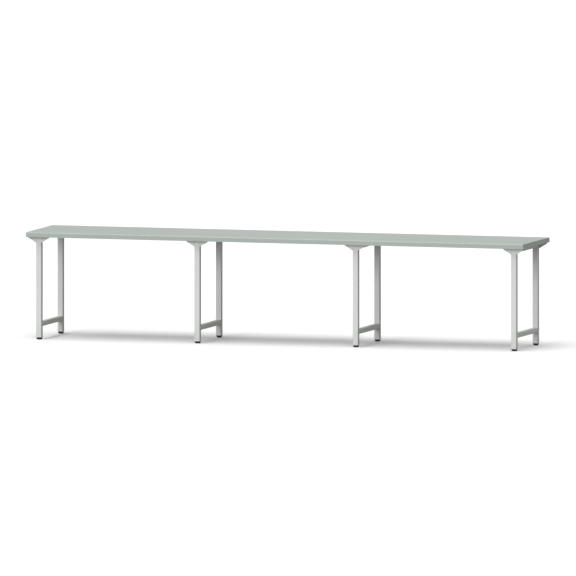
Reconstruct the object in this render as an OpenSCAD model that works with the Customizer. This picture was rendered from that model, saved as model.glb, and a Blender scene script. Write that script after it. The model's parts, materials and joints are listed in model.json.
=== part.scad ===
// Long workbench: one laminated worktop on a row of two-legged steel frames with levelling feet.
// Millimetres. The origin is on the floor in the middle of the bench.
// X runs along the bench, Y from front to back, and Z up.

/* [Worktop] */
// Length of the worktop
top_l = 4240; // [2400:10:5200]
// Depth of the worktop, front to back
top_d = 750; // [500:10:950]
// Height of the working surface above the floor
work_h = 880; // [650:5:1100]
// Thickness of the core board
core_t = 38; // [28:1:50]
// Thickness of the laminate skin
laminate_t = 1; // [0.6:0.1:2]
// Thickness of the backing sheet on the underside
backing_t = 1; // [0.6:0.1:2]
// Outer radius of the two long upper edges
nosing_r = 8; // [3:0.5:15]
// Thickness of the strip that closes each end
end_strip_t = 2; // [1:0.5:4]
// Radius of the outer upper edge of an end strip
end_strip_r = 1.5; // [0.5:0.1:1.8]

/* [Frames] */
// Number of two-legged frames
frame_count = 4; // [2:1:4]
// From an end of the worktop to the middle of the end frame
end_inset = 95; // [95:5:400]
// From a long edge of the worktop to the outer face of the legs
side_overhang = 49; // [20:1:120]
// Outer width of the square leg tube
leg_w = 45; // [40:1:60]
// Wall of every tube
tube_wall = 2; // [1.5:0.5:3]
// Outer corner radius of every tube
tube_r = 4; // [3.5:0.5:6]
// Outer width and height of the low cross rail
rail_w = 40; // [25:1:40]
// From the floor to the underside of the low cross rail
rail_h = 105; // [60:5:300]
// Width of each flange of the angle under the worktop
angle_w = 35; // [25:1:40]
// Thickness of that angle
angle_t = 3; // [2:0.5:4]

/* [Leg heads] */
// Length of a head plate along the bench
head_w = 180; // [140:2:190]
// Thickness of a head plate and its wings
head_t = 4; // [3:0.5:6]
// From the underside of the worktop to the lower tip of a wing
wing_drop = 48; // [30:1:90]
// Depth of the lip along the lower edge of a wing, from the wing's outer face
lip_d = 8; // [5:0.5:14]
// Thickness of that lip
lip_t = 3; // [2:0.5:4]

/* [Screws] */
// Shank diameter of the worktop screws
screw_d = 5; // [4:0.5:6]
// Length of a screw under its head
screw_l = 28; // [20:1:30]
// Diameter of a screw head
screw_head_d = 10; // [8:0.5:12]
// Height of a screw head
screw_head_h = 3; // [2:0.5:4]
// Screws through each angle
angle_screws = 3; // [2:1:5]

/* [Feet] */
// From the floor to the lower end of a leg tube, with the foot screwed right in
foot_h = 17; // [16:0.5:24]
// Thickness of the plug's flange under the tube
flange_t = 3; // [2:0.5:4]
// Length of the plug inside the tube
plug_l = 28; // [24:1:40]
// Largest diameter of a foot pad
pad_d = 44; // [36:1:50]
// Diameter of the pad's face on the floor
pad_sole_d = 38; // [30:1:40]
// Thread diameter of the spindle
spindle_d = 10; // [8:1:12]
// Length of thread that stands above the pad
spindle_l = 48; // [40:1:60]
// Width across the flats of the spindle's hexagon and of the nut
hex_af = 17; // [15:1:19]
// Height of the spindle's hexagon
spindle_hex_h = 5.5; // [4:0.5:6]
// Thickness of the nut in the plug
nut_t = 8; // [6:0.5:10]

/* [Hidden] */
$fn = 64;
// Radial clearance of a thread or a spindle in its hole
running_fit = 0.05;
// Gap between pieces that move past each other
moving_gap = 0.3;
// Radial clearance of a screw in a hole in steel, and in its pilot hole in the board
screw_hole_gap = 0.25;
screw_pilot_gap = 0.05;

top_t = core_t + laminate_t + backing_t;
under_z = work_h - top_t;
body_l = top_l - 2 * end_strip_t;

frame_pitch = (top_l - 2 * end_inset) / (frame_count - 1);
leg_y = top_d / 2 - side_overhang - leg_w / 2;
leg_top_z = under_z - head_t;
inner_span = 2 * leg_y - leg_w;

// The lip follows the line from the outer end of the plate to the lower tip of the wing.
wing_run = head_w / 2 - leg_w / 2;
lip_rise = lip_t * sqrt(pow(wing_run, 2) + pow(wing_drop - head_t, 2)) / wing_run;

head_screw_x = [leg_w / 2 + 20, head_w / 2 - 16];
angle_screw_x = leg_w / 2 - (angle_w + angle_t) / 2;

plug_low_z = foot_h - flange_t;
pad_top_z = plug_low_z - moving_gap;
pad_shoulder_z = pad_top_z - 2;
pad_waist_z = 4;
hex_recess_d = hex_af / cos(30) + 4;
hex_recess_h = spindle_hex_h + 2.5;
nut_seat_z = plug_low_z + hex_recess_h + 2;
plug_boss_d = hex_recess_d + 5;
plug_skin = 2.5;
spindle_collar_d = 18;
spindle_collar_h = 4;
spindle_collar_z = 4;
spindle_top_z = pad_top_z + spindle_l;

SIDES = ["front", "rear"];
FRAMES = [1 : frame_count];
PER_FRAME = ["foot_rail_", "top_angle_", "screws_"];
PER_LEG = ["leg_", "head_", "plug_", "foot_pad_", "spindle_"];
NODES = concat(
    ["worktop_core", "worktop_laminate", "worktop_backing", "end_strip_left", "end_strip_right"],
    [for (f = FRAMES) for (p = PER_FRAME) str(p, f)],
    [for (f = FRAMES) for (s = SIDES) for (p = PER_LEG) str(p, s, "_", f)],
    ["insert_nuts"]
);
node = "all";

function wanted(name) = node == "all" || node == name;
function frame_x(f) = -top_l / 2 + end_inset + (f - 1) * frame_pitch;
// The angle is on the side of its frame that faces the nearer end of the bench.
function outward(f) = frame_x(f) < 0 ? -1 : 1;
function front_or_rear(side) = side == "front" ? -1 : 1;

// Places of the screws of one frame, from the frame's middle
function head_screws() = [
    for (y = [-leg_y, leg_y]) for (s = [-1, 1]) for (x = head_screw_x) [s * x, y]
];
function angle_screws_of(f) = [
    for (k = [1 : angle_screws])
        [outward(f) * angle_screw_x, inner_span * (k / (angle_screws + 1) - 0.5)]
];

module at_frame(f) {
    translate([frame_x(f), 0, 0]) children();
}

// Children drawn for a front leg stand at that leg; the rear leg's are their mirror image.
module at_leg(side, f) {
    at_frame(f)
        mirror([0, side == "rear" ? 1 : 0, 0])
            translate([0, -leg_y, 0]) children();
}

module rounded_square(w, r) {
    square([w, w - 2 * r], center = true);
    square([w - 2 * r, w], center = true);
    for (x = [-1, 1])
        for (y = [-1, 1])
            translate([x * (w / 2 - r), y * (w / 2 - r)]) circle(r);
}

module tube_section(w) {
    difference() {
        rounded_square(w, tube_r);
        rounded_square(w - 2 * tube_wall, tube_r - tube_wall);
    }
}

module hexagon(af) {
    circle(d = af / cos(30), $fn = 6);
}

// ---- Worktop ----

// Cross-section of the worktop, drawn in from its outline by inset, from the height low_z up
module top_section(inset, low_z) {
    r = nosing_r - inset;
    half = top_d / 2 - inset;
    high_z = work_h - inset;
    translate([-half, low_z]) square([2 * half, high_z - r - low_z]);
    translate([r - half, low_z]) square([2 * (half - r), high_z - low_z]);
    for (s = [-1, 1])
        translate([s * (half - r), high_z - r]) circle(r);
}

// Sweeps a section drawn in Y and Z along X
module along_x(l) {
    rotate([90, 0, 90]) linear_extrude(l, center = true) children();
}

// Sweeps a section drawn in X and Z along Y
module along_y(l) {
    rotate([90, 0, 0]) linear_extrude(l, center = true) children();
}

module screw_holes(low_z, h, gap) {
    for (f = FRAMES)
        for (p = concat(head_screws(), angle_screws_of(f)))
            translate([frame_x(f) + p[0], p[1], low_z])
                cylinder(h = h, d = screw_d + 2 * gap);
}

module worktop_core() {
    pilot_h = screw_l - angle_t - backing_t + 1;
    color("burlywood")
        difference() {
            along_x(body_l) top_section(laminate_t, under_z + backing_t);
            screw_holes(under_z + backing_t - 1, pilot_h + 1, screw_pilot_gap);
        }
}

module worktop_laminate() {
    color([0.71, 0.745, 0.725])
        difference() {
            along_x(body_l) top_section(0, under_z);
            along_x(body_l + 2) top_section(laminate_t, under_z - 1);
        }
}

module worktop_backing() {
    color("gainsboro")
        difference() {
            translate([0, 0, under_z + backing_t / 2])
                cube([body_l, top_d - 2 * laminate_t, backing_t], center = true);
            screw_holes(under_z - 1, backing_t + 2, screw_pilot_gap);
        }
}

// The strip that closes an end: the worktop's own section with its outer upper edge rounded
module end_strip(s) {
    x = s * (top_l - end_strip_t) / 2;
    color([0.66, 0.69, 0.67])
        translate([x, 0, 0])
            intersection() {
                along_x(end_strip_t) top_section(0, under_z);
                mirror([s < 0 ? 1 : 0, 0, 0])
                    along_y(top_d) {
                        translate([-end_strip_t / 2, under_z])
                            square([end_strip_t, top_t - end_strip_r]);
                        translate([-end_strip_t / 2, under_z])
                            square([end_strip_t - end_strip_r, top_t]);
                        translate([end_strip_t / 2 - end_strip_r, work_h - end_strip_r])
                            circle(end_strip_r);
                    }
            }
}

// ---- Frames ----

module leg(side, f) {
    color("lightgray")
        at_leg(side, f)
            translate([0, 0, foot_h])
                linear_extrude(leg_top_z - foot_h) tube_section(leg_w);
}

module foot_rail(f) {
    color("lightgray")
        at_frame(f)
            translate([0, 0, rail_h + rail_w / 2])
                along_y(inner_span) tube_section(rail_w);
}

// Folded section with its corner at the origin and its flanges along -X and -Z
module angle_section() {
    bend_r = angle_t + 1;
    translate([-angle_w, -angle_t]) square([angle_w - bend_r, angle_t]);
    translate([-angle_t, -angle_w]) square([angle_t, angle_w - bend_r]);
    intersection() {
        translate([-bend_r, -bend_r]) square(bend_r);
        translate([-bend_r, -bend_r])
            difference() {
                circle(bend_r);
                circle(bend_r - angle_t);
            }
    }
}

module top_angle(f) {
    color("lightgray")
        difference() {
            at_frame(f)
                mirror([outward(f) < 0 ? 1 : 0, 0, 0])
                    translate([leg_w / 2, 0, under_z])
                        along_y(inner_span) angle_section();
            for (p = angle_screws_of(f))
                translate([frame_x(f) + p[0], p[1], under_z - angle_t - 1])
                    cylinder(h = angle_t + 2, d = screw_d + 2 * screw_hole_gap);
        }
}

// One wing of a head, drawn in X and Z from the leg's side outwards
module wing_outline() {
    polygon([
        [leg_w / 2, leg_top_z],
        [head_w / 2, leg_top_z],
        [head_w / 2, leg_top_z - lip_rise],
        [leg_w / 2, under_z - wing_drop]
    ]);
}

// The lip's outer end lands on the plate over its own thickness.
module lip_outline() {
    polygon([
        [leg_w / 2, under_z - wing_drop + lip_rise],
        [head_w / 2 - lip_t, leg_top_z],
        [head_w / 2, leg_top_z],
        [head_w / 2, leg_top_z - lip_rise],
        [leg_w / 2, under_z - wing_drop]
    ]);
}

// Head plate on top of a leg with a wing on each side, flush with the leg's outer face
module head(side, f) {
    color("lightgray")
        at_leg(side, f)
            difference() {
                union() {
                    translate([-head_w / 2, -leg_w / 2, leg_top_z])
                        cube([head_w, leg_w, head_t]);
                    for (s = [0, 1])
                        mirror([s, 0, 0]) {
                            translate([0, (head_t - leg_w) / 2, 0]) along_y(head_t) wing_outline();
                            translate([0, (lip_d - leg_w) / 2, 0]) along_y(lip_d) lip_outline();
                        }
                }
                for (s = [-1, 1])
                    for (x = head_screw_x)
                        translate([s * x, 0, leg_top_z - 1])
                            cylinder(h = head_t + 2, d = screw_d + 2 * screw_hole_gap);
            }
}

// Pan-head wood screw that points up, with the underside of its head at the origin
module screw() {
    tip_h = screw_d;
    slot_w = screw_d / 5;
    difference() {
        translate([0, 0, -screw_head_h])
            rotate_extrude()
                polygon([
                    [0, 0],
                    [screw_head_d / 2 - screw_head_h / 2, 0],
                    [screw_head_d / 2, screw_head_h / 2],
                    [screw_head_d / 2, screw_head_h],
                    [0, screw_head_h]
                ]);
        for (a = [0, 90])
            rotate(a)
                translate([0, 0, -screw_head_h])
                    cube([screw_head_d / 2, slot_w, screw_head_h], center = true);
    }
    cylinder(h = screw_l - tip_h, d = screw_d);
    translate([0, 0, screw_l - tip_h]) cylinder(h = tip_h, d1 = screw_d, d2 = 0);
}

module screws(f) {
    color("silver")
        at_frame(f) {
            for (p = head_screws())
                translate([p[0], p[1], leg_top_z]) screw();
            for (p = angle_screws_of(f))
                translate([p[0], p[1], under_z - angle_t]) screw();
        }
}

// ---- Feet ----

// Ribbed plug in the lower end of a leg, with a seat for the nut and a recess for the spindle's hexagon
module plug(side, f) {
    inner_w = leg_w - 2 * tube_wall;
    top_z = foot_h + plug_l;
    color("dimgray")
        at_leg(side, f)
            difference() {
                union() {
                    translate([0, 0, plug_low_z]) linear_extrude(flange_t) rounded_square(leg_w, tube_r);
                    translate([0, 0, foot_h])
                        linear_extrude(plug_l)
                            difference() {
                                rounded_square(inner_w, tube_r - tube_wall);
                                square(inner_w - 2 * plug_skin, center = true);
                            }
                    translate([0, 0, foot_h]) cylinder(h = plug_l, d = plug_boss_d);
                    for (a = [45, 135])
                        rotate(a)
                            translate([0, 0, foot_h + plug_l / 2])
                                cube([inner_w * 1.2, plug_skin, plug_l], center = true);
                }
                translate([0, 0, plug_low_z - 1]) cylinder(h = hex_recess_h + 1, d = hex_recess_d);
                translate([0, 0, plug_low_z]) cylinder(h = plug_l, d = spindle_d + 2 * moving_gap);
                translate([0, 0, nut_seat_z]) linear_extrude(top_z - nut_seat_z + 1) hexagon(hex_af);
            }
}

module insert_nuts() {
    color("silver")
        for (f = FRAMES)
            for (side = SIDES)
                at_leg(side, f)
                    translate([0, 0, nut_seat_z])
                        difference() {
                            linear_extrude(nut_t) hexagon(hex_af);
                            translate([0, 0, -1]) cylinder(h = nut_t + 2, d = spindle_d + 2 * running_fit);
                        }
}

module foot_pad(side, f) {
    pocket_d = spindle_collar_d + 2 * moving_gap;
    pocket_h = spindle_collar_h + 2 * moving_gap;
    color("dimgray")
        at_leg(side, f)
            difference() {
                rotate_extrude()
                    polygon([
                        [0, 0],
                        [pad_sole_d / 2, 0],
                        [pad_d / 2, pad_waist_z],
                        [pad_d / 2, pad_shoulder_z],
                        [pad_d / 2 - 4, pad_top_z],
                        [0, pad_top_z]
                    ]);
                translate([0, 0, spindle_collar_z - moving_gap]) cylinder(h = pocket_h, d = pocket_d);
                translate([0, 0, spindle_collar_z])
                    cylinder(h = pad_top_z, d = spindle_d + 2 * running_fit);
            }
}

module spindle(side, f) {
    hex_z = pad_top_z + moving_gap;
    chamfer = 1;
    color("silver")
        at_leg(side, f) {
            translate([0, 0, spindle_collar_z]) cylinder(h = spindle_collar_h, d = spindle_collar_d);
            translate([0, 0, spindle_collar_z])
                cylinder(h = spindle_top_z - chamfer - spindle_collar_z, d = spindle_d);
            translate([0, 0, hex_z]) linear_extrude(spindle_hex_h) hexagon(hex_af);
            translate([0, 0, spindle_top_z - chamfer])
                cylinder(h = chamfer, d1 = spindle_d, d2 = spindle_d - 2 * chamfer);
        }
}

// ---- Nodes ----

if (wanted("worktop_core")) worktop_core();
if (wanted("worktop_laminate")) worktop_laminate();
if (wanted("worktop_backing")) worktop_backing();
if (wanted("end_strip_left")) end_strip(-1);
if (wanted("end_strip_right")) end_strip(1);
if (wanted("insert_nuts")) insert_nuts();
for (f = FRAMES) {
    if (wanted(str("foot_rail_", f))) foot_rail(f);
    if (wanted(str("top_angle_", f))) top_angle(f);
    if (wanted(str("screws_", f))) screws(f);
    for (s = SIDES) {
        if (wanted(str("leg_", s, "_", f))) leg(s, f);
        if (wanted(str("head_", s, "_", f))) head(s, f);
        if (wanted(str("plug_", s, "_", f))) plug(s, f);
        if (wanted(str("foot_pad_", s, "_", f))) foot_pad(s, f);
        if (wanted(str("spindle_", s, "_", f))) spindle(s, f);
    }
}
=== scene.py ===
"""Long workbench: the looks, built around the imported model. Metres, Z up."""

import json
import math

import bmesh
import bpy
from mathutils import Matrix, Vector


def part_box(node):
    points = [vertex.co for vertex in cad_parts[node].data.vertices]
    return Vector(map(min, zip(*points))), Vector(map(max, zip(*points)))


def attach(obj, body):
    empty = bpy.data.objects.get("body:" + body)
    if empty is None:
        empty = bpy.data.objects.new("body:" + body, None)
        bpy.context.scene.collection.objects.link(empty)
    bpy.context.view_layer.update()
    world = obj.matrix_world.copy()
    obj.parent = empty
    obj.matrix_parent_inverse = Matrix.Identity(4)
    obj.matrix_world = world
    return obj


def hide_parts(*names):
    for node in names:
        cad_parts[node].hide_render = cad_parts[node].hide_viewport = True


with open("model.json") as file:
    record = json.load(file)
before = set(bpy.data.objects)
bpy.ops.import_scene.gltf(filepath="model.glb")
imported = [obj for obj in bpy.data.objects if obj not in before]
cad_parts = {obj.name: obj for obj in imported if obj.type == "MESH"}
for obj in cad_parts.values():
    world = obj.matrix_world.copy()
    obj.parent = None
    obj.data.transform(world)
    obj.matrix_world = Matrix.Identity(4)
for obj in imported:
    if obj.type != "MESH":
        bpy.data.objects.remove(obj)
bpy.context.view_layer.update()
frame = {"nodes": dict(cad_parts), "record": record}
MM = 0.001
MERGE = 1e-6
FRAMES = range(1, 5)
SIDES = ("front", "rear")


# ---- Shader node groups: each effect is built once and placed with its own values ----


def new_group(name, inputs, outputs):
    """A shader node group with its sockets; each input is (name, type, value)."""
    group = bpy.data.node_groups.new(name, "ShaderNodeTree")
    for label, kind, value in inputs:
        socket = group.interface.new_socket(name=label, in_out="INPUT", socket_type=kind)
        socket.default_value = value
    for label, kind in outputs:
        group.interface.new_socket(name=label, in_out="OUTPUT", socket_type=kind)
    source = group.nodes.new("NodeGroupInput")
    sink = group.nodes.new("NodeGroupOutput")
    return group, source.outputs, sink.inputs


def add(tree, kind, links=None, **values):
    """One node, its settings or its unlinked sockets set by name, and its inputs linked."""
    node = tree.nodes.new(kind)
    for key, value in values.items():
        if hasattr(node, key):
            setattr(node, key, value)
        else:
            node.inputs[key.replace("_", " ")].default_value = value
    for key, output in (links or {}).items():
        tree.links.new(output, node.inputs[key])
    return node


def object_point(tree):
    """Where a point lies on the object, in metres."""
    return add(tree, "ShaderNodeTexCoord").outputs["Object"]


def multiply(tree, first, second):
    """The product of two linked values."""
    node = add(tree, "ShaderNodeMath", {0: first, 1: second}, operation="MULTIPLY")
    return node.outputs[0]


def colour_mix(tree, share):
    """A mix of two colours by a linked share: its two colour inputs and its result."""
    node = add(tree, "ShaderNodeMix", data_type="RGBA")
    tree.links.new(share, node.inputs["Factor"])
    first, second = [s for s in node.inputs if s.type == "RGBA"]
    result = [s for s in node.outputs if s.type == "RGBA"][0]
    return first, second, result


def tone_group():
    """Slow, slight lightening and darkening of a colour, as in paint and pressed laminate."""
    group, given, out = new_group(
        "tone drift",
        [
            ("Colour", "NodeSocketColor", (0.5, 0.5, 0.5, 1)),
            ("Scale", "NodeSocketFloat", 3.0),
            ("Amount", "NodeSocketFloat", 0.05),
        ],
        [("Colour", "NodeSocketColor")],
    )
    noise = add(
        group,
        "ShaderNodeTexNoise",
        {"Vector": object_point(group), "Scale": given["Scale"]},
        Detail=4.0,
        Roughness=0.55,
    )
    centred = add(group, "ShaderNodeMath", {0: noise.outputs["Fac"]}, operation="SUBTRACT")
    centred.inputs[1].default_value = 0.5
    drift = add(
        group,
        "ShaderNodeMath",
        {0: centred.outputs[0], 1: given["Amount"]},
        operation="MULTIPLY_ADD",
    )
    drift.inputs[2].default_value = 1.0
    tinted = add(
        group,
        "ShaderNodeHueSaturation",
        {"Color": given["Colour"], "Value": drift.outputs[0]},
    )
    group.links.new(tinted.outputs["Color"], out["Colour"])
    return group


def grain_group():
    """Fine bumps: orange peel on paint, pearl on laminate, spark texture on plastic."""
    group, given, out = new_group(
        "fine grain",
        [
            ("Scale", "NodeSocketFloat", 400.0),
            ("Strength", "NodeSocketFloat", 0.2),
            ("Height", "NodeSocketFloat", 0.0002),
        ],
        [("Normal", "NodeSocketVector")],
    )
    noise = add(
        group,
        "ShaderNodeTexNoise",
        {"Vector": object_point(group), "Scale": given["Scale"]},
        Detail=2.0,
    )
    bump = add(
        group,
        "ShaderNodeBump",
        {
            "Height": noise.outputs["Fac"],
            "Strength": given["Strength"],
            "Distance": given["Height"],
        },
    )
    group.links.new(bump.outputs["Normal"], out["Normal"])
    return group


def speckle_group():
    """Small flecks of a second colour, as in printed laminate and chipboard."""
    group, given, out = new_group(
        "flecks",
        [
            ("Colour", "NodeSocketColor", (0.5, 0.5, 0.5, 1)),
            ("Fleck", "NodeSocketColor", (0.6, 0.6, 0.6, 1)),
            ("Scale", "NodeSocketFloat", 600.0),
            ("Amount", "NodeSocketFloat", 0.3),
        ],
        [("Colour", "NodeSocketColor")],
    )
    cells = add(
        group,
        "ShaderNodeTexVoronoi",
        {"Vector": object_point(group), "Scale": given["Scale"]},
    )
    chosen = add(group, "ShaderNodeSeparateColor", {"Color": cells.outputs["Color"]})
    share = multiply(group, chosen.outputs["Red"], given["Amount"])
    ground, fleck, result = colour_mix(group, share)
    group.links.new(given["Colour"], ground)
    group.links.new(given["Fleck"], fleck)
    group.links.new(result, out["Colour"])
    return group


RUB_WAYS = ((0.35, (1.0, 22.0, 1.0)), (-0.9, (1.0, 30.0, 1.0)))
RUB_STARTS = 0.62
RUB_FULL = 0.74


def scuff_group():
    """A mask of faint hairline rubs in two directions, each a turn and a stretch."""
    group, given, out = new_group(
        "hairline scuffs",
        [("Scale", "NodeSocketFloat", 12.0), ("Amount", "NodeSocketFloat", 0.3)],
        [("Mask", "NodeSocketFloat")],
    )
    point = object_point(group)
    rubs = []
    for turn, stretch in RUB_WAYS:
        turned = add(group, "ShaderNodeMapping", {"Vector": point})
        turned.inputs["Rotation"].default_value = (0, 0, turn)
        turned.inputs["Scale"].default_value = stretch
        noise = add(
            group,
            "ShaderNodeTexNoise",
            {"Vector": turned.outputs["Vector"], "Scale": given["Scale"]},
            Detail=3.0,
        )
        ramp = add(group, "ShaderNodeMapRange", {"Value": noise.outputs["Fac"]})
        ramp.inputs["From Min"].default_value = RUB_STARTS
        ramp.inputs["From Max"].default_value = RUB_FULL
        rubs.append(ramp.outputs["Result"])
    both = add(group, "ShaderNodeMath", {0: rubs[0], 1: rubs[1]}, operation="MAXIMUM")
    group.links.new(multiply(group, both.outputs[0], given["Amount"]), out["Mask"])
    return group


def floor_dust_group():
    """A mask that grows towards the floor, broken up by noise."""
    group, given, out = new_group(
        "floor dust",
        [("Reach", "NodeSocketFloat", 0.15), ("Amount", "NodeSocketFloat", 0.4)],
        [("Mask", "NodeSocketFloat")],
    )
    point = object_point(group)
    height = add(group, "ShaderNodeSeparateXYZ", {"Vector": point}).outputs["Z"]
    near = add(group, "ShaderNodeMapRange", {"Value": height, "From Max": given["Reach"]})
    near.inputs["To Min"].default_value = 1.0
    near.inputs["To Max"].default_value = 0.0
    noise = add(group, "ShaderNodeTexNoise", {"Vector": point}, Scale=60.0, Detail=5.0)
    broken = multiply(group, near.outputs["Result"], noise.outputs["Fac"])
    group.links.new(multiply(group, broken, given["Amount"]), out["Mask"])
    return group


TONE = tone_group()
GRAIN = grain_group()
FLECKS = speckle_group()
SCUFFS = scuff_group()
DUST = floor_dust_group()


# ---- Materials ----


def place(tree, group, links=None, **values):
    """A group in a material, with its own values."""
    node = tree.nodes.new("ShaderNodeGroup")
    node.node_tree = group
    for key, value in values.items():
        node.inputs[key].default_value = value
    for key, output in (links or {}).items():
        tree.links.new(output, node.inputs[key])
    return node


def new_material(name, roughness, **constants):
    """A material with its Principled shader; constants are that shader's own sockets."""
    material = bpy.data.materials.new(name)
    material.use_nodes = True
    tree = material.node_tree
    shader = tree.nodes["Principled BSDF"]
    shader.inputs["Roughness"].default_value = roughness
    for key, value in constants.items():
        shader.inputs[key.replace("_", " ")].default_value = value
    return material, tree, shader


def vary_roughness(tree, shader, low, high, scale, rubs=None):
    """Roughness that wanders between two values, and rises where the surface is rubbed."""
    noise = add(
        tree, "ShaderNodeTexNoise", {"Vector": object_point(tree)}, Scale=scale, Detail=4.0
    )
    ramp = add(tree, "ShaderNodeMapRange", {"Value": noise.outputs["Fac"]})
    ramp.inputs["To Min"].default_value = low
    ramp.inputs["To Max"].default_value = high
    level = ramp.outputs["Result"]
    if rubs is not None:
        total = add(tree, "ShaderNodeMath", {0: level, 1: rubs}, operation="ADD")
        total.use_clamp = True
        level = total.outputs[0]
    tree.links.new(level, shader.inputs["Roughness"])


def blend_colour(tree, colour, over, mask):
    """A linked colour with a constant one laid over it where the mask is high."""
    under, top, result = colour_mix(tree, mask)
    tree.links.new(colour, under)
    top.default_value = over
    return result


def laminate_material():
    """Satin grey-green pressed laminate with a fine pearl texture."""
    material, tree, shader = new_material("laminate", 0.45)
    flecks = place(
        tree,
        FLECKS,
        Colour=(0.350, 0.393, 0.369, 1),
        Fleck=(0.470, 0.520, 0.492, 1),
        Scale=700.0,
        Amount=0.5,
    )
    tone = place(tree, TONE, {"Colour": flecks.outputs["Colour"]}, Scale=2.5, Amount=0.07)
    rubs = place(tree, SCUFFS, Scale=9.0, Amount=0.22).outputs["Mask"]
    colour = blend_colour(tree, tone.outputs["Colour"], (0.49, 0.53, 0.51, 1), rubs)
    tree.links.new(colour, shader.inputs["Base Color"])
    grain = place(tree, GRAIN, Scale=900.0, Strength=0.5, Height=0.00015)
    tree.links.new(grain.outputs["Normal"], shader.inputs["Normal"])
    vary_roughness(tree, shader, 0.40, 0.52, 6.0, rubs)
    return material


def strip_with_painted_light_material():
    """Extruded plastic edging, on the real bench the colour of the laminate and a little
    plainer; here its colour is set lighter than the laminate's, as painted light that
    brightens the shaded end faces.
    """
    material, tree, shader = new_material("end strip", 0.5)
    # Painted light: this colour is lighter than the laminate's so the end faces, which the
    # lamps leave in shade, come out brighter
    tone = place(tree, TONE, Colour=(0.425, 0.470, 0.445, 1), Scale=8.0, Amount=0.08)
    tree.links.new(tone.outputs["Colour"], shader.inputs["Base Color"])
    grain = place(tree, GRAIN, Scale=2200.0, Strength=0.2, Height=0.00008)
    tree.links.new(grain.outputs["Normal"], shader.inputs["Normal"])
    vary_roughness(tree, shader, 0.45, 0.6, 15.0)
    return material


def backing_material():
    """Matt kraft-grey balancing sheet."""
    material, tree, shader = new_material("backing sheet", 0.8)
    flecks = place(
        tree,
        FLECKS,
        Colour=(0.44, 0.45, 0.42, 1),
        Fleck=(0.34, 0.33, 0.30, 1),
        Scale=500.0,
        Amount=0.35,
    )
    tone = place(tree, TONE, {"Colour": flecks.outputs["Colour"]}, Scale=1.8, Amount=0.14)
    tree.links.new(tone.outputs["Colour"], shader.inputs["Base Color"])
    grain = place(tree, GRAIN, Scale=700.0, Strength=0.3, Height=0.0002)
    tree.links.new(grain.outputs["Normal"], shader.inputs["Normal"])
    return material


def board_material():
    """Pressed wood chips, seen only in the screw holes."""
    material, tree, shader = new_material("chipboard", 0.9)
    flecks = place(
        tree,
        FLECKS,
        Colour=(0.46, 0.32, 0.18, 1),
        Fleck=(0.66, 0.50, 0.31, 1),
        Scale=350.0,
        Amount=0.9,
    )
    tree.links.new(flecks.outputs["Colour"], shader.inputs["Base Color"])
    grain = place(tree, GRAIN, Scale=600.0, Strength=0.6, Height=0.0006)
    tree.links.new(grain.outputs["Normal"], shader.inputs["Normal"])
    return material


def paint_material():
    """Light grey powder coat with orange peel, faint rubs, and dust near the floor."""
    material, tree, shader = new_material("powder coat", 0.42)
    tone = place(tree, TONE, Colour=(0.655, 0.680, 0.652, 1), Scale=7.0, Amount=0.06)
    rubs = place(tree, SCUFFS, Scale=25.0, Amount=0.2).outputs["Mask"]
    rubbed = blend_colour(tree, tone.outputs["Colour"], (0.60, 0.61, 0.59, 1), rubs)
    dust = place(tree, DUST, Reach=0.16, Amount=0.35).outputs["Mask"]
    colour = blend_colour(tree, rubbed, (0.42, 0.39, 0.34, 1), dust)
    tree.links.new(colour, shader.inputs["Base Color"])
    grain = place(tree, GRAIN, Scale=420.0, Strength=0.6, Height=0.0004)
    tree.links.new(grain.outputs["Normal"], shader.inputs["Normal"])
    vary_roughness(tree, shader, 0.34, 0.48, 20.0, rubs)
    return material


def plastic_material():
    """Black moulded plastic with a spark-eroded texture and some dust."""
    material, tree, shader = new_material("black plastic", 0.55)
    tone = place(tree, TONE, Colour=(0.012, 0.012, 0.013, 1), Scale=40.0, Amount=0.3)
    dust = place(tree, DUST, Reach=0.012, Amount=0.12).outputs["Mask"]
    colour = blend_colour(tree, tone.outputs["Colour"], (0.16, 0.15, 0.13, 1), dust)
    tree.links.new(colour, shader.inputs["Base Color"])
    grain = place(tree, GRAIN, Scale=1800.0, Strength=0.4, Height=0.0002)
    tree.links.new(grain.outputs["Normal"], shader.inputs["Normal"])
    vary_roughness(tree, shader, 0.45, 0.65, 90.0, dust)
    return material


def zinc_material():
    """Bright zinc plate with a faint cloudy passivation."""
    material, tree, shader = new_material("zinc plate", 0.35, Metallic=1.0)
    flecks = place(
        tree,
        FLECKS,
        Colour=(0.60, 0.62, 0.64, 1),
        Fleck=(0.70, 0.69, 0.62, 1),
        Scale=260.0,
        Amount=0.5,
    )
    tree.links.new(flecks.outputs["Colour"], shader.inputs["Base Color"])
    grain = place(tree, GRAIN, Scale=1600.0, Strength=0.15, Height=0.0001)
    tree.links.new(grain.outputs["Normal"], shader.inputs["Normal"])
    vary_roughness(tree, shader, 0.28, 0.45, 120.0)
    return material


FINISH = {
    "laminate": laminate_material(),
    "edge_strip": strip_with_painted_light_material(),
    "backing": backing_material(),
    "board": board_material(),
    "frame_paint": paint_material(),
    "black_plastic": plastic_material(),
    "zinc_steel": zinc_material(),
}


def dress_cad_nodes():
    """Every carried-over node takes the finish of its slot in the record."""
    for part in frame["record"]["subparts"]:
        mesh = frame["nodes"][part["node"]].data
        material = FINISH[part["material_slot"]]
        if mesh.materials:
            for i in range(len(mesh.materials)):
                mesh.materials[i] = material
        else:
            mesh.materials.append(material)


# ---- Mesh helpers ----

# Half the width of a thread's ridge at its root and at its crest, as shares of the pitch
RIDGE_HALF = 0.46
CREST_HALF = 0.07


def closed_mesh(bm, name):
    """A bmesh made into a mesh, its doubles merged and its faces turned outwards."""
    bmesh.ops.remove_doubles(bm, verts=bm.verts, dist=MERGE)
    bmesh.ops.recalc_face_normals(bm, faces=bm.faces)
    mesh = bpy.data.meshes.new(name)
    bm.to_mesh(mesh)
    bm.free()
    return mesh


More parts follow.
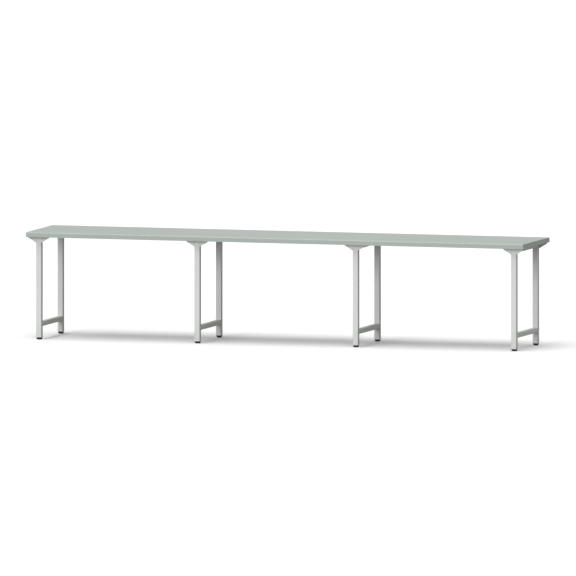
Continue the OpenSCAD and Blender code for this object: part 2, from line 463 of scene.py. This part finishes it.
def finish_piece(bm, name, body, slot_name, smooth_deg=35):
    """Turns a bmesh into a piece on a body, with its slot's finish."""
    mesh = closed_mesh(bm, name)
    mesh.materials.append(FINISH[slot_name])
    mesh.shade_smooth()
    mesh.set_sharp_from_angle(angle=math.radians(smooth_deg))
    piece = bpy.data.objects.new(name, mesh)
    bpy.context.scene.collection.objects.link(piece)
    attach(piece, body)
    return piece


def stamp(bm, template, position):
    """Adds a copy of a template to a bmesh, turned and moved by a matrix."""
    before = len(bm.verts)
    bm.from_mesh(template)
    bm.verts.ensure_lookup_table()
    bmesh.ops.transform(bm, matrix=position, verts=bm.verts[before:])


def spin_profile(bm, points, steps):
    """A turned shape about the Z axis; points are (radius, height)."""
    ring = [bm.verts.new((r, 0, z)) for r, z in points]
    edges = [bm.edges.new(pair) for pair in zip(ring, ring[1:])]
    bmesh.ops.spin(
        bm,
        geom=ring + edges,
        cent=(0, 0, 0),
        axis=(0, 0, 1),
        angle=math.tau,
        steps=steps,
        use_merge=True,
    )


def arc(cx, cz, r, start_deg, end_deg, count):
    """Points (radius, height) along an arc, for a turned outline."""
    spread = [start_deg + (end_deg - start_deg) * k / count for k in range(count + 1)]
    return [
        (cx + r * math.cos(math.radians(a)), cz + r * math.sin(math.radians(a)))
        for a in spread
    ]


def helix(bm, start_z, radii, pitch, turns, steps_per_turn):
    """A thread ridge about the Z axis, from root to crest radius."""
    root, crest = radii
    half = pitch * RIDGE_HALF
    flat = pitch * CREST_HALF
    section = [
        bm.verts.new((r, 0, start_z + half + z))
        for r, z in ((root, -half), (crest, -flat), (crest, flat), (root, half))
    ]
    bmesh.ops.spin(
        bm,
        geom=[bm.faces.new(section)],
        cent=(0, 0, 0),
        axis=(0, 0, 1),
        dvec=(0, 0, pitch / steps_per_turn),
        angle=math.tau * turns,
        steps=steps_per_turn * turns,
    )


# ---- Levelling feet ----

THREAD_PITCH = 1.5 * MM
THREAD_DEPTH = 0.92 * MM
THREAD_STEPS = 24
ROD_R = 5.0 * MM
COLLAR_H = 4.0 * MM
HEXAGON_H = 5.5 * MM
MOVING_GAP = 0.3 * MM
RUNNING_GAP = 0.05 * MM
SPINDLE_EDGE = 0.4 * MM
SPINDLE_STEPS = 48
PAD_FLUTES = 24
FLUTE_DEPTH = 0.7 * MM
FLUTE_LOW = 3.0 * MM
PAD_STEPS = 96
SOLE_TAPER = 3.0 * MM
SOLE_EDGE = 1.0 * MM
GRIP_LOW = 4.4 * MM
GRIP_EDGE = 1.6 * MM
SHOULDER = 3.4 * MM


def sizes_of(node):
    """The middle of a node in plan, its half widths, and its lowest and highest points."""
    low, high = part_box(node)
    middle = Vector(((low.x + high.x) / 2, (low.y + high.y) / 2, 0))
    return middle, (high.x - low.x) / 2, (high.y - low.y) / 2, low.z, high.z


def spindle_template(example, pad_top):
    """A turned spindle: a collar, a hexagon for the spanner and a real helical thread."""
    _, hex_r, collar_r, low, high = sizes_of(example)
    core_r = ROD_R - THREAD_DEPTH
    collar_top = low + COLLAR_H
    hex_low = pad_top + MOVING_GAP
    hex_high = hex_low + HEXAGON_H
    edge = SPINDLE_EDGE
    outline = [
        (0, low),
        (collar_r - edge, low),
        (collar_r, low + edge),
        (collar_r, collar_top - edge),
        (collar_r - edge, collar_top),
        (ROD_R, collar_top),
        (ROD_R, hex_high + edge),
        (core_r, hex_high + 3 * edge),
        (core_r, high - 2 * edge),
        (core_r - 2 * edge, high),
        (0, high),
    ]
    bm = bmesh.new()
    spin_profile(bm, outline, SPINDLE_STEPS)
    middle = Matrix.Translation((0, 0, (hex_low + hex_high) / 2))
    hexagon = bmesh.ops.create_cone(
        bm,
        cap_ends=True,
        segments=6,
        radius1=hex_r,
        radius2=hex_r,
        depth=HEXAGON_H,
        matrix=middle @ Matrix.Rotation(math.radians(90), 4, "Z"),
    )
    rims = list(dict.fromkeys(e for v in hexagon["verts"] for e in v.link_edges))
    bmesh.ops.bevel(
        bm, geom=rims, offset=edge, affect="EDGES", segments=2, profile=0.5, material=-1
    )
    ridge_low = hex_high + 0.6 * MM
    turns = int((high - 0.9 * MM - ridge_low) / THREAD_PITCH) - 1
    helix(bm, ridge_low, (core_r - 0.2 * MM, ROD_R), THREAD_PITCH, turns, THREAD_STEPS)
    return closed_mesh(bm, "template")


def pad_template(example, spindle):
    """The moulded pad: a dished top, a fluted grip, a rounded sole and a collar pocket."""
    _, r, _, _, top = sizes_of(example)
    _, _, collar_r, collar_low, _ = sizes_of(spindle)
    sole_r = r - SOLE_TAPER - SOLE_EDGE
    neck_r = ROD_R + RUNNING_GAP
    pocket_r = collar_r + MOVING_GAP
    pocket_low = collar_low - MOVING_GAP
    pocket_high = collar_low + COLLAR_H + MOVING_GAP
    outline = (
        [(0, 0), (sole_r, 0)]
        + arc(sole_r, SOLE_EDGE, SOLE_EDGE, -80, -35, 4)
        + [(r - 0.4 * MM, GRIP_LOW - 1.0 * MM), (r, GRIP_LOW), (r, top - SHOULDER)]
        + arc(r - GRIP_EDGE, top - SHOULDER, GRIP_EDGE, 10, 80, 5)
        + [
            (r - 4.5 * MM, top - 0.9 * MM),
            (r - 8.0 * MM, top - 0.2 * MM),
            (r - 10.0 * MM, top),
            (neck_r + 0.4 * MM, top),
            (neck_r, top - 0.4 * MM),
            (neck_r, pocket_high),
            (pocket_r, pocket_high),
            (pocket_r, pocket_low),
            (0, pocket_low),
        ]
    )
    bm = bmesh.new()
    spin_profile(bm, outline, PAD_STEPS)
    for v in bm.verts:
        out = Vector((v.co.x, v.co.y, 0))
        if out.length > r - 0.5 * MM and v.co.z > FLUTE_LOW:
            turn = math.atan2(out.y, out.x) * PAD_FLUTES
            v.co -= out.normalized() * FLUTE_DEPTH * (0.5 + 0.5 * math.cos(turn))
    return closed_mesh(bm, "template")


def levelling_feet():
    """One pad and one spindle for each leg, on the bodies that travel and turn."""
    first = f"{SIDES[0]}_{FRAMES[0]}"
    pad_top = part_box(f"foot_pad_{first}")[1].z
    spindle = spindle_template(f"spindle_{first}", pad_top)
    pad = pad_template(f"foot_pad_{first}", f"spindle_{first}")
    for leg in [f"{side}_{f}" for f in FRAMES for side in SIDES]:
        position = Matrix.Translation(sizes_of(f"spindle_{leg}")[0])
        for template, node, name, body, finish, smooth in (
            (spindle, f"spindle_{leg}", f"threaded_spindle_{leg}", "screw", "zinc_steel", 35),
            (pad, f"foot_pad_{leg}", f"moulded_pad_{leg}", "pad", "black_plastic", 40),
        ):
            bm = bmesh.new()
            stamp(bm, template, position)
            piece = finish_piece(bm, name, f"{body}_{leg}", finish, smooth)
            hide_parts(node)


# ---- Chipboard screws ----

SCREW_HEAD_H = 3.0 * MM
SCREW_CORE_R = 1.75 * MM
SCREW_THREAD_R = 2.45 * MM
SCREW_PITCH = 2.2 * MM
SCREW_TIP = 5.0 * MM
SOCKET_R = 1.8 * MM
SOCKET_DEEP = 1.7 * MM
SOCKET_LOBES = 6
LOBE_SHARE = 0.14
DOME_R = 2.2 * MM
SCREW_STEPS = 36
SCREW_THREAD_STEPS = 14
STOP_TURN = math.radians(37)
SAME_CORNER = 1e-5


def solids_of(node):
    """The lowest and highest corners of each separate solid in a carried-over node."""
    bm = bmesh.new()
    bm.from_mesh(frame["nodes"][node].data)
    bmesh.ops.remove_doubles(bm, verts=bm.verts, dist=SAME_CORNER)
    seen, corners = set(), []
    for start in bm.verts:
        if start in seen:
            continue
        seen.add(start)
        solid = [start]
        for v in solid:
            for e in v.link_edges:
                other = e.other_vert(v)
                if other not in seen:
                    seen.add(other)
                    solid.append(other)
        corners.append(
            [Vector([pick(v.co[k] for v in solid) for k in range(3)]) for pick in (min, max)]
        )
    bm.free()
    return corners


def screw_template(head_r, length):
    """A pan-head screw, head down: a six-lobed socket, a domed head and a coarse thread."""
    outline = (
        [
            (0, SOCKET_DEEP),
            (SOCKET_R * 0.85, SOCKET_DEEP),
            (SOCKET_R, 0.2 * MM),
            (SOCKET_R + 0.3 * MM, 0),
        ]
        + arc(head_r - DOME_R, DOME_R, DOME_R, -85, -8, 5)
        + [
            (head_r, SCREW_HEAD_H),
            (SCREW_THREAD_R, SCREW_HEAD_H),
            (SCREW_CORE_R, SCREW_HEAD_H + 0.8 * MM),
            (SCREW_CORE_R, length - SCREW_TIP),
            (0, length),
        ]
    )
    bm = bmesh.new()
    spin_profile(bm, outline, SCREW_STEPS)
    for v in bm.verts:
        out = Vector((v.co.x, v.co.y, 0))
        on_wall = SOCKET_R * 0.8 < out.length < SOCKET_R + 0.1 * MM
        if on_wall and v.co.z < SOCKET_DEEP + 0.1 * MM:
            turn = math.atan2(out.y, out.x) * SOCKET_LOBES
            v.co += out * LOBE_SHARE * math.cos(turn)
    thread_low = SCREW_HEAD_H + 0.9 * MM
    turns = int((length - SCREW_TIP - thread_low) / SCREW_PITCH)
    radii = (SCREW_CORE_R - 0.15 * MM, SCREW_THREAD_R)
    helix(bm, thread_low, radii, SCREW_PITCH, turns, SCREW_THREAD_STEPS)
    return closed_mesh(bm, "template")


def chipboard_screws():
    """Every screw up into the board, each turned a little differently, as they stop."""
    template = None
    for f in FRAMES:
        node = f"screws_{f}"
        bm = bmesh.new()
        for k, (low, high) in enumerate(solids_of(node)):
            if template is None:
                template = screw_template((high.x - low.x) / 2, high.z - low.z)
            middle = Vector(((low.x + high.x) / 2, (low.y + high.y) / 2, low.z))
            turn = Matrix.Rotation(k * STOP_TURN, 4, "Z")
            stamp(bm, template, Matrix.Translation(middle) @ turn)
        piece = finish_piece(bm, f"chipboard_{node}", "bench", "zinc_steel")
        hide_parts(node)


# ---- Weld seams ----

# A bead's radius, its ripples, and how far each bead stops short of an edge
BEAD_R = 3.2 * MM
RIPPLE = 0.4 * MM
RIPPLE_PITCH = 2.4 * MM
BEAD_SIDES = 10
BEAD_TIP = 0.6
RAIL_INSET = 4 * MM
HEAD_INSET = 5 * MM
WING_INSET = 2.8 * MM
WING_BEAD_LOW = 9 * MM
WING_BEAD_HIGH = 2 * MM
ANGLE_BEAD_LOW = 3 * MM
ANGLE_BEAD_HIGH = 6 * MM
# One bead of each length, made when it is first needed
BEADS = {}


def bead_template(length):
    """One rippled bead up the Z axis: a wavy outline turned about its seam."""
    waves = max(3, round(length / RIPPLE_PITCH))
    outline = [(0, -BEAD_R * BEAD_TIP)]
    for k in range(2 * waves + 1):
        outline.append((BEAD_R + (RIPPLE if k % 2 else -RIPPLE), length * k / (2 * waves)))
    outline.append((0, length + BEAD_R * BEAD_TIP))
    bm = bmesh.new()
    spin_profile(bm, outline, BEAD_SIDES)
    return closed_mesh(bm, "template")


def weld_bead(bm, start, end):
    """One bead from start to end, copied from the bead of that length."""
    along = end - start
    length = round(along.length, 5)
    if length not in BEADS:
        BEADS[length] = bead_template(length)
    turn = along.to_track_quat("Z", "Y").to_matrix().to_4x4()
    stamp(bm, BEADS[length], Matrix.Translation(start) @ turn)


def rail_seams(bm, f):
    """Beads round both ends of the low rail."""
    low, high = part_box(f"foot_rail_{f}")
    inset = RAIL_INSET
    for y in (low.y, high.y):
        for z in (low.z, high.z):
            weld_bead(bm, Vector((low.x + inset, y, z)), Vector((high.x - inset, y, z)))
        for x in (low.x, high.x):
            weld_bead(bm, Vector((x, y, low.z + inset)), Vector((x, y, high.z - inset)))


def head_seams(bm, side, f):
    """Beads where the leg meets its head plate and the two wings."""
    leg_low, leg_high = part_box(f"leg_{side}_{f}")
    head_low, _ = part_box(f"head_{side}_{f}")
    if side == "front":
        wing_y, inner_y = leg_low.y + WING_INSET, leg_high.y - HEAD_INSET
    else:
        wing_y, inner_y = leg_high.y - WING_INSET, leg_low.y + HEAD_INSET
    for x in (leg_low.x, leg_high.x):
        corner = Vector((x, wing_y, leg_high.z))
        start = Vector((x, wing_y, head_low.z + WING_BEAD_LOW))
        weld_bead(bm, start, corner - Vector((0, 0, WING_BEAD_HIGH)))
        weld_bead(bm, corner, Vector((x, inner_y, leg_high.z)))


def angle_seams(bm, f):
    """Beads where the ends of the top angle meet the corners of the two legs."""
    low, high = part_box(f"top_angle_{f}")
    for side, y in zip(SIDES, (low.y, high.y)):
        leg_low, leg_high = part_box(f"leg_{side}_{f}")
        x = leg_high.x if leg_low.x > 0 else leg_low.x
        start = Vector((x, y, low.z + ANGLE_BEAD_LOW))
        weld_bead(bm, start, Vector((x, y, high.z - ANGLE_BEAD_HIGH)))


def weld_seams(f):
    """All the beads of one frame, as one piece."""
    bm = bmesh.new()
    rail_seams(bm, f)
    angle_seams(bm, f)
    for side in SIDES:
        head_seams(bm, side, f)
    finish_piece(bm, f"weld_seams_{f}", "bench", "frame_paint", 60)


# ---- Room, light and camera ----

ROOM_SEEN, ROOM_LIT = 1.0, 0.52
FLOOR_SEEN, FLOOR_LIT = 0.92, 0.25
FLOOR_HALF = 60
FLOOR_DROP = 0.5 * MM
AZIMUTH = math.radians(16.8)
ELEVATION = math.radians(4.73)
VIEW_WIDTH = 4.702
AIM_RIGHT, AIM_UP = 0.0028, 0.4423
CAMERA_BACK = 40
CLIP_END = 200


def seen_or_lit(tree, seen, lit):
    """One colour where the camera looks straight at it, another as a source of light."""
    straight = add(tree, "ShaderNodeLightPath").outputs["Is Camera Ray"]
    as_light, as_seen, result = colour_mix(tree, straight)
    as_light.default_value = (lit, lit, lit, 1)
    as_seen.default_value = (seen, seen, seen, 1)
    return result


def sun(name, energy, towards, spread_deg):
    """A sun lamp; towards points from the bench to the lamp, and a wide spread is soft."""
    light = bpy.data.lights.new(name, "SUN")
    light.energy = energy
    light.angle = math.radians(spread_deg)
    lamp = bpy.data.objects.new(name, light)
    lamp.rotation_mode = "QUATERNION"
    lamp.rotation_quaternion = Vector(towards).to_track_quat("Z", "Y")
    bpy.context.scene.collection.objects.link(lamp)


def studio():
    """A pale floor, an even pale room, a low soft key in front and a soft light above."""
    world = bpy.data.worlds.new("studio")
    bpy.context.scene.world = world
    world.use_nodes = True
    tree = world.node_tree
    background = tree.nodes["Background"]
    tree.links.new(seen_or_lit(tree, ROOM_SEEN, ROOM_LIT), background.inputs["Color"])

    floor_mesh = bpy.data.meshes.new("floor")
    bm = bmesh.new()
    bmesh.ops.create_grid(bm, x_segments=1, y_segments=1, size=FLOOR_HALF)
    bmesh.ops.translate(bm, verts=bm.verts, vec=(0, 0, -FLOOR_DROP))
    bm.to_mesh(floor_mesh)
    bm.free()
    floor = bpy.data.objects.new("floor", floor_mesh)
    bpy.context.scene.collection.objects.link(floor)
    material, tree, shader = new_material("pale floor", 1.0, Specular_IOR_Level=0.0)
    tree.links.new(seen_or_lit(tree, FLOOR_SEEN, FLOOR_LIT), shader.inputs["Base Color"])
    floor_mesh.materials.append(material)

    sun("key", energy=1.36, towards=(-0.22, -0.95, 0.27), spread_deg=30)
    sun("overhead", energy=1.85, towards=(-0.1, -0.25, 1.0), spread_deg=50)
    bpy.context.scene.view_settings.view_transform = "Standard"


def camera():
    """A parallel view from the front right, a little above the worktop's edge."""
    flat = math.cos(ELEVATION)
    back = Vector((math.sin(AZIMUTH) * flat, -math.cos(AZIMUTH) * flat, math.sin(ELEVATION)))
    turn = back.to_track_quat("Z", "Y")
    aim = turn @ Vector((AIM_RIGHT, AIM_UP, 0))
    lens = bpy.data.cameras.new("camera")
    lens.type = "ORTHO"
    lens.ortho_scale = VIEW_WIDTH
    lens.clip_end = CLIP_END
    view = bpy.data.objects.new("camera", lens)
    view.rotation_mode = "QUATERNION"
    view.rotation_quaternion = turn
    view.location = aim + back * CAMERA_BACK
    bpy.context.scene.collection.objects.link(view)
    bpy.context.scene.camera = view


camera()
studio()
dress_cad_nodes()
levelling_feet()
chipboard_screws()
for f in FRAMES:
    weld_seams(f)
